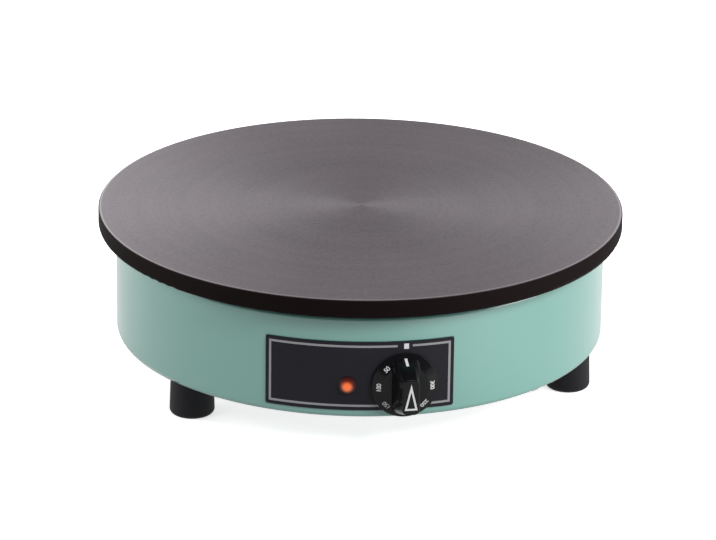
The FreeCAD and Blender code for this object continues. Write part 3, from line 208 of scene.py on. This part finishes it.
def add(tree, kind, links=None, **values):
    """Adds a node, sets its properties or its inputs by name, and links its inputs."""
    node = tree.nodes.new(kind)
    for key, value in values.items():
        if hasattr(node, key):
            setattr(node, key, value)
        else:
            node.inputs[key].default_value = value
    for key, source in (links or {}).items():
        tree.links.new(source, node.inputs[key])
    return node


def math_node(tree, operation, a, b=None, clamp=False):
    """One math node on sockets or numbers, giving its output."""
    node = tree.nodes.new("ShaderNodeMath")
    node.operation = operation
    node.use_clamp = clamp
    for i, value in enumerate((a, b)):
        if value is None:
            continue
        if isinstance(value, (int, float)):
            node.inputs[i].default_value = value
        else:
            tree.links.new(value, node.inputs[i])
    return node.outputs[0]


def mix_colour(tree, factor, a, b):
    """A colour mix of two colours by a factor socket."""
    node = tree.nodes.new("ShaderNodeMix")
    node.data_type = "RGBA"
    tree.links.new(factor, node.inputs["Factor"])
    for i, value in zip(MIX_INPUTS, (a, b)):
        if hasattr(value, "links"):
            tree.links.new(value, node.inputs[i])
        else:
            node.inputs[i].default_value = (*value, 1.0)
    return node.outputs[MIX_OUTPUT]


def ramp(tree, value, start, end, low=0.0, high=1.0, smooth=False):
    """Maps a socket from a start and an end value onto a low and a high one."""
    node = add(tree, "ShaderNodeMapRange", {"Value": value})
    if smooth:
        node.interpolation_type = "SMOOTHSTEP"
    for name, number in (("From Min", start), ("From Max", end), ("To Min", low), ("To Max", high)):
        node.inputs[name].default_value = number
    return node.outputs[0]


def spread(tree, value, low, high):
    """Maps a 0 to 1 socket onto a range."""
    return ramp(tree, value, 0.0, 1.0, low, high)


def reach_from(tree, point):
    """Distance of the surface from a point, as a socket."""
    place = tree.nodes.new("ShaderNodeTexCoord").outputs["Object"]
    node = add(tree, "ShaderNodeVectorMath", {0: place}, operation="DISTANCE")
    node.inputs[1].default_value = point
    return node.outputs["Value"]


def mottle_group():
    """Shared effect: soft cloudy variation and fine grain, from Object coordinates."""
    tree = bpy.data.node_groups.get("mottle")
    if tree:
        return tree
    tree = bpy.data.node_groups.new("mottle", "ShaderNodeTree")
    for name, default in (("Cloud scale", 12.0), ("Grain scale", 600.0), ("Grain share", 0.5)):
        socket = tree.interface.new_socket(name, in_out="INPUT", socket_type="NodeSocketFloat")
        socket.default_value = default
    for name in ("Mask", "Height"):
        tree.interface.new_socket(name, in_out="OUTPUT", socket_type="NodeSocketFloat")
    inputs = tree.nodes.new("NodeGroupInput").outputs
    outputs = tree.nodes.new("NodeGroupOutput").inputs
    place = tree.nodes.new("ShaderNodeTexCoord").outputs["Object"]
    cloud = add(tree, "ShaderNodeTexNoise", {"Vector": place, "Scale": inputs["Cloud scale"]}, Detail=4.0)
    grain = add(tree, "ShaderNodeTexNoise", {"Vector": place, "Scale": inputs["Grain scale"]}, Detail=2.0)
    own = math_node(tree, "MULTIPLY", grain.outputs["Fac"], inputs["Grain share"])
    rest = math_node(tree, "SUBTRACT", 1.0, inputs["Grain share"])
    clouds = math_node(tree, "MULTIPLY", cloud.outputs["Fac"], rest)
    tree.links.new(math_node(tree, "ADD", own, clouds), outputs["Mask"])
    tree.links.new(grain.outputs["Fac"], outputs["Height"])
    return tree


def mottled(tree, cloud, grain, share):
    """Places the shared mottle effect with its own values."""
    node = tree.nodes.new("ShaderNodeGroup")
    node.node_tree = mottle_group()
    node.inputs["Cloud scale"].default_value = cloud
    node.inputs["Grain scale"].default_value = grain
    node.inputs["Grain share"].default_value = share
    return node.outputs


def bump(tree, shade, height, strength, distance):
    """Links a bump from a height socket to the shader."""
    node = add(tree, "ShaderNodeBump", {"Height": height}, Strength=strength, Distance=distance)
    tree.links.new(node.outputs[0], shade.inputs["Normal"])


def plain(name, dark, light, rough, metallic=0.0, cloud=30.0, grain=900.0, share=0.5, depth=0.00002,
          strength=0.3, coat=0.0, shine=0.5):
    """A finish from two close colours, with varying roughness and a fine grain."""
    material, tree, shade = shader(name)
    effect = mottled(tree, cloud, grain, share)
    tree.links.new(mix_colour(tree, effect["Mask"], dark, light), shade.inputs["Base Color"])
    tree.links.new(spread(tree, effect["Mask"], rough[0], rough[1]), shade.inputs["Roughness"])
    shade.inputs["Metallic"].default_value = metallic
    shade.inputs["Specular IOR Level"].default_value = shine
    shade.inputs["Coat Weight"].default_value = coat
    shade.inputs["Coat Roughness"].default_value = 0.08
    bump(tree, shade, effect["Height"], strength, depth)
    return material


def cast_iron(colours):
    """Fine-turned seasoned iron: concentric tool marks, a mottled skin and a turned sheen."""
    material, tree, shade = shader("seasoned_cast_iron")
    place = tree.nodes.new("ShaderNodeTexCoord").outputs["Object"]
    parts = add(tree, "ShaderNodeSeparateXYZ", {"Vector": place}).outputs
    square = math_node(tree, "ADD", math_node(tree, "MULTIPLY", parts["X"], parts["X"]),
                       math_node(tree, "MULTIPLY", parts["Y"], parts["Y"]))
    radius = math_node(tree, "SQRT", square)
    marks = add(tree, "ShaderNodeTexNoise", {"W": math_node(tree, "MULTIPLY", radius, MARK_SCALE)},
                noise_dimensions="1D", Detail=3.0, Scale=1.0)
    bands = add(tree, "ShaderNodeTexNoise", {"W": math_node(tree, "MULTIPLY", radius, BAND_SCALE)},
                noise_dimensions="1D", Detail=2.0, Scale=1.0)
    effect = mottled(tree, 9.0, 340.0, 0.6)
    banding = math_node(tree, "MULTIPLY", bands.outputs["Fac"], BAND_SHARE)
    tone = math_node(tree, "ADD", math_node(tree, "MULTIPLY", effect["Mask"], SKIN_SHARE),
                     math_node(tree, "MULTIPLY", marks.outputs["Fac"], MARK_SHARE))
    tone = math_node(tree, "ADD", tone, banding, clamp=True)
    # Painted shade: the rim's face and underside, from a few millimetres under the top, and the top's outermost
    # edge go near black
    upper = ramp(tree, parts["Z"], PLATE_HIGH.z - RIM_SHADE_DEPTH_FULL, PLATE_HIGH.z - RIM_SHADE_DEPTH_START)
    outer = ramp(tree, radius, PLATE_HIGH.x - RIM_SHADE_START, PLATE_HIGH.x - RIM_SHADE_FULL, smooth=True)
    shaded = math_node(tree, "MAXIMUM", outer, math_node(tree, "SUBTRACT", 1.0, upper))
    # Painted highlight: a lighter ring just inside the top's edge, where the edge catches the light
    highlit = ramp(tree, radius, PLATE_HIGH.x - EDGE_HIGHLIGHT_START, PLATE_HIGH.x - EDGE_HIGHLIGHT_FULL, smooth=True)
    tone_share = ramp(tree, tone, TONE_DARK, TONE_LIGHT)
    skin = mix_colour(tree, tone_share, colours.plate_dark, colours.plate_light)
    skin = mix_colour(tree, highlit, skin, colours.plate_edge_highlight)
    skin = mix_colour(tree, shaded, skin, colours.plate_rim_shade)
    polish = math_node(tree, "MAXIMUM", spread(tree, tone, 0.36, 0.50), spread(tree, shaded, 0.0, 0.8))
    tree.links.new(skin, shade.inputs["Base Color"])
    tree.links.new(polish, shade.inputs["Roughness"])
    tree.links.new(spread(tree, shaded, 0.85, 0.0), shade.inputs["Metallic"])
    shade.inputs["Specular IOR Level"].default_value = 0.08
    shade.inputs["Anisotropic"].default_value = 0.35
    shade.inputs["Anisotropic Rotation"].default_value = 0.25
    turn = add(tree, "ShaderNodeTangent", direction_type="RADIAL", axis="Z")
    tree.links.new(turn.outputs[0], shade.inputs["Tangent"])
    height = math_node(tree, "ADD", math_node(tree, "MULTIPLY", marks.outputs["Fac"], 0.5),
                       math_node(tree, "MULTIPLY", effect["Height"], 0.5))
    bump(tree, shade, height, 0.25, 0.00004)
    return material


def green_enamel(colours):
    """Glossy green vitreous enamel with faint pooling and orange peel."""
    material, tree, shade = shader("green_enamel")
    effect = mottled(tree, 7.0, 160.0, 0.15)
    tree.links.new(mix_colour(tree, effect["Mask"], colours.enamel_deep, colours.enamel),
                   shade.inputs["Base Color"])
    tree.links.new(spread(tree, effect["Mask"], 0.26, 0.31), shade.inputs["Roughness"])
    shade.inputs["Specular IOR Level"].default_value = 0.8
    shade.inputs["Coat Weight"].default_value = 0.6
    shade.inputs["Coat Roughness"].default_value = 0.10
    bump(tree, shade, effect["Height"], 0.06, 0.00004)
    return material


def amber_lens(colours):
    """Amber lens, bright in its middle where the lamp glows and dark red at its edge."""
    material, tree, shade = shader("amber_lens")
    middle = (LENS_LOW + LENS_HIGH) / 2
    out = Vector((middle.x, middle.y, 0)).normalized()
    radius = LENS_HIGH.z - middle.z
    core = radius * LENS_CORE_SHARE
    crown = middle + out * ((LENS_HIGH.y - LENS_LOW.y) / 2)
    near = ramp(tree, reach_from(tree, crown), radius, core, smooth=True)
    effect = mottled(tree, 200.0, 900.0, 0.4)
    glow = math_node(tree, "MULTIPLY", near, spread(tree, effect["Mask"], 0.8, 1.0))
    skin = mix_colour(tree, glow, colours.amber_edge, colours.amber)
    tree.links.new(skin, shade.inputs["Base Color"])
    tree.links.new(skin, shade.inputs["Emission Color"])
    shade.inputs["Emission Strength"].default_value = 0.35
    shade.inputs["Roughness"].default_value = 0.32
    shade.inputs["Coat Weight"].default_value = 0.1
    return material


def finishes():
    """Every finish by the record's material slot."""
    c = bpy.context.scene.griddle_colours
    grey = tuple(c.print_grey)
    white = tuple(c.print_white)
    return {
        "cast_iron": cast_iron(c),
        "green_enamel": green_enamel(c),
        "black_panel": plain("black_panel", tuple(c.panel), (0.020, 0.020, 0.026), (0.34, 0.46), shine=0.12),
        "black_knob": plain("black_knob", tuple(c.knob), (0.006, 0.006, 0.007), (0.12, 0.24), coat=0.08,
                            shine=0.14),
        "black_rubber": plain("black_rubber", tuple(c.rubber), (0.016, 0.016, 0.019), (0.5, 0.68),
                              grain=1400.0, depth=0.00005, shine=0.2),
        "black_plastic": plain("black_plastic", (0.012, 0.012, 0.013), (0.022, 0.022, 0.023), (0.4, 0.55)),
        "amber_lens": amber_lens(c),
        "white_plastic": plain("white_plastic", (0.60, 0.60, 0.57), (0.74, 0.74, 0.72), (0.35, 0.5)),
        "dark_red_plastic": plain("dark_red_plastic", (0.030, 0.004, 0.003), (0.075, 0.009, 0.006),
                                  (0.3, 0.4), shine=0.3),
        "red_plastic": plain("red_plastic", (0.38, 0.012, 0.010), (0.52, 0.022, 0.018), (0.25, 0.35)),
        "zinc_steel": plain("zinc_steel", (0.42, 0.43, 0.45), (0.62, 0.63, 0.65), (0.28, 0.42), 1.0),
        "sheet_steel": plain("sheet_steel", (0.36, 0.37, 0.38), (0.52, 0.53, 0.54), (0.34, 0.50), 1.0,
                             cloud=14.0, grain=500.0),
        "element_steel": plain("element_steel", (0.09, 0.08, 0.075), (0.22, 0.19, 0.16), (0.4, 0.6), 0.9),
        "earth_green": plain("earth_green", (0.03, 0.16, 0.03), (0.05, 0.24, 0.05), (0.4, 0.55)),
        "copper": plain("copper", (0.45, 0.20, 0.11), (0.62, 0.32, 0.19), (0.28, 0.42), 1.0),
        "brass": plain("brass", (0.48, 0.34, 0.12), (0.64, 0.48, 0.20), (0.25, 0.4), 1.0),
        "ceramic": plain("ceramic", (0.62, 0.60, 0.54), (0.78, 0.76, 0.70), (0.4, 0.6)),
        "ceramic_fibre": plain("ceramic_fibre", (0.62, 0.61, 0.57), (0.82, 0.81, 0.77), (0.8, 0.95),
                               grain=350.0, depth=0.0006, strength=0.8),
        "print_grey": plain("print_grey", tuple(x * 0.8 for x in grey), grey, (0.4, 0.55)),
        "print_white": plain("print_white", tuple(x * 0.85 for x in white), white, (0.4, 0.55)),
    }


# Places on the round wall

def outwards(angle):
    """Direction out of the round wall at an angle to the right from the front."""
    return Vector((math.sin(angle), -math.cos(angle), 0.0))


def knob_frame():
    """Matrix that puts x along the wall, y up and z out of the panel at the knob's axis."""
    out = outwards(KNOB_AZIMUTH)
    up = Vector((0, 0, 1))
    turn = Matrix((up.cross(out), up, out)).transposed().to_4x4()
    return Matrix.Translation(KNOB_PLACE) @ turn


def finish_piece(name, work, body, material):
    """Makes an object of a bmesh, gives it its finish and slot, and lets it ride on a body."""
    bmesh.ops.recalc_face_normals(work, faces=work.faces)
    mesh = bpy.data.meshes.new(name)
    work.to_mesh(mesh)
    work.free()
    mesh.materials.append(material)
    piece = bpy.data.objects.new(name, mesh)
    bpy.context.scene.collection.objects.link(piece)
    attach(piece, body)


def thicken(work, faces, height, direction):
    """Extrudes flat faces along a direction into closed slabs."""
    grown = bmesh.ops.extrude_face_region(work, geom=faces)
    moved = [g for g in grown["geom"] if isinstance(g, bmesh.types.BMVert)]
    bmesh.ops.translate(work, verts=moved, vec=direction * height)


def unit_square(work, place):
    """A square face of side 1, put in its place by a matrix."""
    corners = bmesh.ops.create_grid(work, x_segments=1, y_segments=1, size=0.5, matrix=place)["verts"]
    return corners[0].link_faces[0]


def wall_strip(work, left, right, low, high, height):
    """Spins a thin upright section along the round panel, from one arc length to another."""
    out = outwards(left / PANEL_FACE)
    up = Vector((0, 0, 1))
    shape = Matrix((out * height, up * (high - low), up.cross(out))).transposed().to_4x4()
    middle = Matrix.Translation(out * (PANEL_FACE + height / 2) + up * (low + high) / 2)
    section = unit_square(work, middle @ shape)
    angle = (right - left) / PANEL_FACE
    steps = max(1, round(angle / STRIP_STEP))
    bmesh.ops.spin(work, geom=[section, *section.edges, *section.verts], cent=(0, 0, 0), axis=up,
                   angle=angle, steps=steps)


class GRIDDLE_OT_finish_nodes(bpy.types.Operator):
    """Give every solid of the frame its finish"""
    bl_idname = "griddle.finish_nodes"
    bl_label = "Finish the solids"

    def execute(self, context):
        materials = finishes()
        slots = {s["node"]: s["material_slot"] for s in frame["record"]["subparts"]}
        for node, piece in frame["nodes"].items():
            piece.data.materials.clear()
            piece.data.materials.append(materials[slots[node]])
        return {"FINISHED"}


class GRIDDLE_OT_panel_print(bpy.types.Operator):
    """Print the grey frame line and the index square on the control panel"""
    bl_idname = "griddle.panel_print"
    bl_label = "Panel print"

    def execute(self, context):
        s = context.scene.griddle_sizes
        left = PANEL_FACE * math.asin(PANEL_LOW.x / PANEL_FACE) + s.border
        right = PANEL_FACE * math.asin(PANEL_HIGH.x / PANEL_FACE) - s.border
        low = PANEL_LOW.z + s.border
        high = PANEL_HIGH.z - s.border
        knob_arc = KNOB_AZIMUTH * PANEL_FACE
        line = s.line_width
        lift = s.print_height
        work = bmesh.new()
        wall_strip(work, left, knob_arc - s.line_gap / 2, high - line, high, lift)
        wall_strip(work, knob_arc + s.line_gap / 2, right, high - line, high, lift)
        wall_strip(work, left, right, low, low + line, lift)
        wall_strip(work, left, left + line, low + line, high - line, lift)
        wall_strip(work, right - line, right, low + line, high - line, lift)
        finish_piece("panel_frame_line", work, "housing", bpy.data.materials["print_grey"])
        work = bmesh.new()
        arc = knob_arc + s.index_offset
        low = KNOB_PLACE.z + s.index_rise - s.index_tall / 2
        wall_strip(work, arc - s.index_width / 2, arc + s.index_width / 2, low, low + s.index_tall, lift)
        finish_piece("panel_index_mark", work, "housing", bpy.data.materials["print_white"])
        return {"FINISHED"}


class GRIDDLE_OT_dial_figures(bpy.types.Operator):
    """Print the figures round the knob's skirt"""
    bl_idname = "griddle.dial_figures"
    bl_label = "Dial figures"

    def execute(self, context):
        s = context.scene.griddle_sizes
        place = knob_frame()
        slope = math.atan2(s.dial_rise - s.rim_rise, s.rim_radius - s.dial_radius)
        rise = s.dial_rise - (s.figure_radius - s.dial_radius) * math.tan(slope)
        work = bmesh.new()
        for step in FIGURE_STEPS:
            curve = bpy.data.curves.new("figure", "FONT")
            curve.body = str(FIGURE_HEAT * step)
            curve.align_x = "CENTER"
            curve.align_y = "CENTER"
            curve.size = s.figure_height / FIGURE_SHARE_OF_TEXT
            curve.space_character = FIGURE_SPACING
            curve.extrude = s.print_height / 2
            curve.offset = s.figure_height * FIGURE_WEIGHT
            text = bpy.data.objects.new("figure", curve)
            mesh = bpy.data.meshes.new_from_object(text)
            mesh.transform(place @ Matrix.Rotation(FIGURE_TURN * step, 4, "Z")
                           @ Matrix.Translation((0, s.figure_radius, rise + s.print_height / 2))
                           @ Matrix.Rotation(-slope, 4, "X"))
            work.from_mesh(mesh)
            bpy.data.objects.remove(text)
            bpy.data.curves.remove(curve)
            bpy.data.meshes.remove(mesh)
        bmesh.ops.remove_doubles(work, verts=work.verts, dist=MERGE_DISTANCE)
        finish_piece("dial_figures", work, "knob", bpy.data.materials["print_white"])
        return {"FINISHED"}


class GRIDDLE_OT_grip_marks(bpy.types.Operator):
    """Print the tick and the outlined arrow on the knob's grip"""
    bl_idname = "griddle.grip_marks"
    bl_label = "Grip marks"

    def execute(self, context):
        s = context.scene.griddle_sizes
        place = knob_frame()
        turn = place.to_3x3()
        work = bmesh.new()
        foot = Vector((0, s.grip_base_half, s.rim_rise))
        along = (Vector((0, s.grip_front_half, s.grip_rise)) - foot).normalized()
        end_out = Vector((0, along.z, -along.y))
        wide = Vector((s.tick_width, 0, 0))
        shape = Matrix((wide, along * s.tick_length, end_out)).transposed().to_4x4()
        middle = Matrix.Translation(foot + along * (s.tick_start + s.tick_length / 2))
        tick = unit_square(work, place @ middle @ shape)
        thicken(work, [tick], s.print_height, turn @ end_out)
        # A triangle in a circle of radius 1 is 1.5 high and the root of 3 wide at its foot
        tall = (s.arrow_top - s.arrow_bottom) / 1.5
        shape = Matrix.Diagonal((s.arrow_width / math.sqrt(3), tall, 1, 1))
        middle = Matrix.Translation((0, s.arrow_top - tall, s.grip_rise))
        corners = bmesh.ops.create_circle(work, cap_ends=True, segments=3, radius=1.0,
                                          matrix=place @ middle @ shape)["verts"]
        arrow = corners[0].link_faces[0]
        outline = bmesh.ops.inset_region(work, faces=[arrow], thickness=s.arrow_line, use_even_offset=True,
                                         use_boundary=True)["faces"]
        bmesh.ops.delete(work, geom=[arrow], context="FACES")
        thicken(work, outline, s.print_height, turn @ Vector((0, 0, 1)))
        finish_piece("grip_marks", work, "knob", bpy.data.materials["print_white"])
        return {"FINISHED"}


class GRIDDLE_OT_stage(bpy.types.Operator):
    """Set the pale floor, the soft light and the camera"""
    bl_idname = "griddle.stage"
    bl_label = "Stage"

    def execute(self, context):
        self.floor(context)
        world = bpy.data.worlds.new("studio")
        world.use_nodes = True
        room = world.node_tree.nodes["Background"].inputs
        room["Color"].default_value = (1.0, 1.0, 1.0, 1.0)
        room["Strength"].default_value = context.scene.griddle_sizes.room_light
        context.scene.world = world
        for name, (place, side, power, mirrored) in LAMPS.items():
            self.lamp(name, place, side, power, mirrored)
        self.camera(context)
        context.scene.view_settings.view_transform = "Standard"
        context.scene.view_settings.look = "None"
        return {"FINISHED"}

    def floor(self, context):
        """A white floor that lights the griddle less than it shines where it is seen or mirrored."""
        s = context.scene.griddle_sizes
        c = context.scene.griddle_colours
        work = bmesh.new()
        bmesh.ops.create_grid(work, x_segments=1, y_segments=1, size=s.floor_side / 2)
        mesh = bpy.data.meshes.new("floor")
        work.to_mesh(mesh)
        work.free()
        material, tree, shade = shader("pale_floor")
        path = tree.nodes.new("ShaderNodeLightPath").outputs
        seen = path["Is Camera Ray"]
        tree.links.new(mix_colour(tree, seen, c.floor_dim, c.floor), shade.inputs["Base Color"])
        shade.inputs["Roughness"].default_value = 0.9
        shade.inputs["Specular IOR Level"].default_value = 0.1
        shade.inputs["Emission Color"].default_value = (1.0, 1.0, 1.0, 1.0)
        glow = math_node(tree, "ADD", math_node(tree, "MULTIPLY", seen, s.floor_glow), s.floor_light)
        patch = ramp(tree, reach_from(tree, FLOOR_PATCH_MIDDLE), 0.0, FLOOR_PATCH_REACH, s.floor_patch,
                     s.floor_reflected, smooth=True)
        mirrored = math_node(tree, "MULTIPLY", path["Is Glossy Ray"], patch)
        tree.links.new(math_node(tree, "ADD", glow, mirrored), shade.inputs["Emission Strength"])
        mesh.materials.append(material)
        floor = bpy.data.objects.new("floor", mesh)
        context.scene.collection.objects.link(floor)

    def lamp(self, name, place, side, power, mirrored):
        """A square soft light that points at the griddle."""
        data = bpy.data.lights.new(name, "AREA")
        data.shape = "SQUARE"
        data.size = side
        data.energy = power
        lamp = bpy.data.objects.new(name, data)
        lamp.location = place
        lamp.visible_glossy = mirrored
        aim = LAMP_TARGET - Vector(place)
        lamp.rotation_euler = aim.to_track_quat("-Z", "Y").to_euler()
        bpy.context.scene.collection.objects.link(lamp)

    def camera(self, context):
        """The photograph's long lens, about 20 degrees above the counter."""
        data = bpy.data.cameras.new("camera")
        data.sensor_width = CAMERA_SENSOR
        data.lens = CAMERA_LENS
        data.clip_end = CAMERA_REACH
        camera = bpy.data.objects.new("camera", data)
        back = -CAMERA_DISTANCE * math.cos(CAMERA_ELEVATION)
        rise = CAMERA_DISTANCE * math.sin(CAMERA_ELEVATION)
        turn = (Matrix.Rotation(CAMERA_YAW, 4, "Z") @ Matrix.Rotation(math.pi / 2 - CAMERA_PITCH, 4, "X")
                @ Matrix.Rotation(CAMERA_ROLL, 4, "Z"))
        camera.matrix_world = Matrix.Translation((0.0, back, rise + PLATE_HIGH.z)) @ turn
        context.scene.collection.objects.link(camera)
        context.scene.camera = camera


class GRIDDLE_PT_panel(bpy.types.Panel):
    """Lists the griddle's steps"""
    bl_label = "Griddle"
    bl_idname = "GRIDDLE_PT_panel"
    bl_space_type = "VIEW_3D"
    bl_region_type = "UI"
    bl_category = "Griddle"

    def draw(self, context):
        for operator in OPERATORS:
            self.layout.operator(operator.bl_idname)


OPERATORS = (GRIDDLE_OT_finish_nodes, GRIDDLE_OT_panel_print, GRIDDLE_OT_dial_figures, GRIDDLE_OT_grip_marks,
             GRIDDLE_OT_stage)
CLASSES = (GriddleSizes, GriddleColours, *OPERATORS, GRIDDLE_PT_panel)


def register():
    for cls in CLASSES:
        bpy.utils.register_class(cls)
    bpy.types.Scene.griddle_sizes = bpy.props.PointerProperty(type=GriddleSizes)
    bpy.types.Scene.griddle_colours = bpy.props.PointerProperty(type=GriddleColours)


def unregister():
    del bpy.types.Scene.griddle_colours
    del bpy.types.Scene.griddle_sizes
    for cls in reversed(CLASSES):
        bpy.utils.unregister_class(cls)


def main():
    """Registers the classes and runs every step."""
    register()
    bpy.ops.griddle.finish_nodes()
    bpy.ops.griddle.panel_print()
    bpy.ops.griddle.dial_figures()
    bpy.ops.griddle.grip_marks()
    bpy.ops.griddle.stage()
    bpy.context.view_layer.update()


if __name__ == "__main__":
    main()
